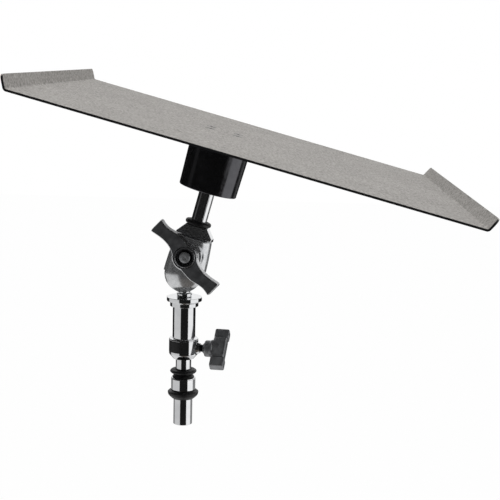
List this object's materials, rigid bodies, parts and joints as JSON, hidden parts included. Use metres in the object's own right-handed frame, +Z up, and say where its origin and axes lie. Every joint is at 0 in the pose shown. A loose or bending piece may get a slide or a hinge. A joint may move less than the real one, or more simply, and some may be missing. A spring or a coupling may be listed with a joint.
{
  "type": "tethering table",
  "caption": "Flat lipped working platform on a tilting chrome grip head, clamped by a lever and a thumbscrew to the stud of a light stand's riser.",
  "frame": {"origin": "centre of the riser's lower end", "axes": "+Z up along the riser, +X the platform's long way down its slope, -Y the side that the clamping lever faces"},
  "size_m": [0.4068, 0.4572, 0.3587],
  "materials": {
    "chrome_plate": "mirror chrome plate",
    "black_rubber": "matt black rubber",
    "dark_casting": "darkened die casting with worn edges",
    "bright_steel": "bright steel",
    "black_steel": "black oxide steel",
    "brass": "plain turned brass",
    "black_anodised": "satin black anodised",
    "grey_textured_coat": "fine textured grey coat with a darker underside"
  },
  "bodies": {
    "stand": {"riser_tube": "chrome_plate", "riser_spigot": "chrome_plate", "lower_bumper_ring": "black_rubber", "riser_collar": "chrome_plate", "collar_gasket": "black_rubber", "upper_bumper_ring": "black_rubber"},
    "receiver": {"receiver_body": "chrome_plate", "ball_stem": "chrome_plate"},
    "pad": {"clamp_pad": "brass"},
    "knob": {"clamp_screw": "black_steel", "clamp_knob": "dark_casting", "knob_pin": "bright_steel"},
    "head": {"shell_front": "chrome_plate", "shell_rear": "chrome_plate", "stud_block": "chrome_plate", "block_dowel_left": "bright_steel", "block_dowel_right": "bright_steel", "table_stud": "chrome_plate", "stud_bumper_ring": "black_rubber", "clamp_bolt": "bright_steel", "lever_nut": "bright_steel"},
    "lever_washer": {"thrust_washer": "bright_steel"},
    "lever": {"clamp_lever": "dark_casting", "lever_bush": "black_steel"},
    "platform": {"mount_socket": "black_anodised", "platform_sheet": "grey_textured_coat", "platform_screw_1": "black_steel", "platform_screw_2": "black_steel", "platform_screw_3": "black_steel", "platform_screw_4": "black_steel", "socket_set_screw_1": "black_steel", "socket_set_screw_2": "black_steel"}
  },
  "joints": [
    {"name": "receiver_pan", "type": "hinge", "parent": "stand", "child": "receiver", "pos_m": [0, 0, 0.0693], "axis": [0, 0, 1], "continuous": true},
    {"name": "thumbscrew_travel", "type": "slide", "parent": "receiver", "child": "pad", "axis": [0.9903, -0.1392, 0], "range_m": [0, 0.0025]},
    {"name": "thumbscrew_turn", "type": "hinge", "parent": "pad", "child": "knob", "pos_m": [0, 0, 0.0808], "axis": [0.9903, -0.1392, 0], "range_deg": [0, 720]},
    {"name": "head_tilt", "type": "hinge", "parent": "receiver", "child": "head", "pos_m": [0, 0, 0.1605], "axis": [0.0994, 0.9947, -0.0263], "range_deg": [-74, 45]},
    {"name": "lever_travel", "type": "slide", "parent": "head", "child": "lever_washer", "axis": [-0.0994, -0.9947, 0.0263], "range_m": [0, 0.00053]},
    {"name": "lever_turn", "type": "hinge", "parent": "lever_washer", "child": "lever", "pos_m": [0.00457, 0, 0.17781], "axis": [-0.0994, -0.9947, 0.0263], "range_deg": [0, 150]},
    {"name": "table_pan", "type": "hinge", "parent": "head", "child": "platform", "pos_m": [0, 0, 0.1605], "axis": [0.2554, 0, 0.9668], "continuous": true}
  ],
  "couplings": [
    {"joint": "thumbscrew_travel", "follows": "thumbscrew_turn", "m_per_rad": 0.00019894},
    {"joint": "lever_travel", "follows": "lever_turn", "m_per_rad": 0.00019894}
  ]
}
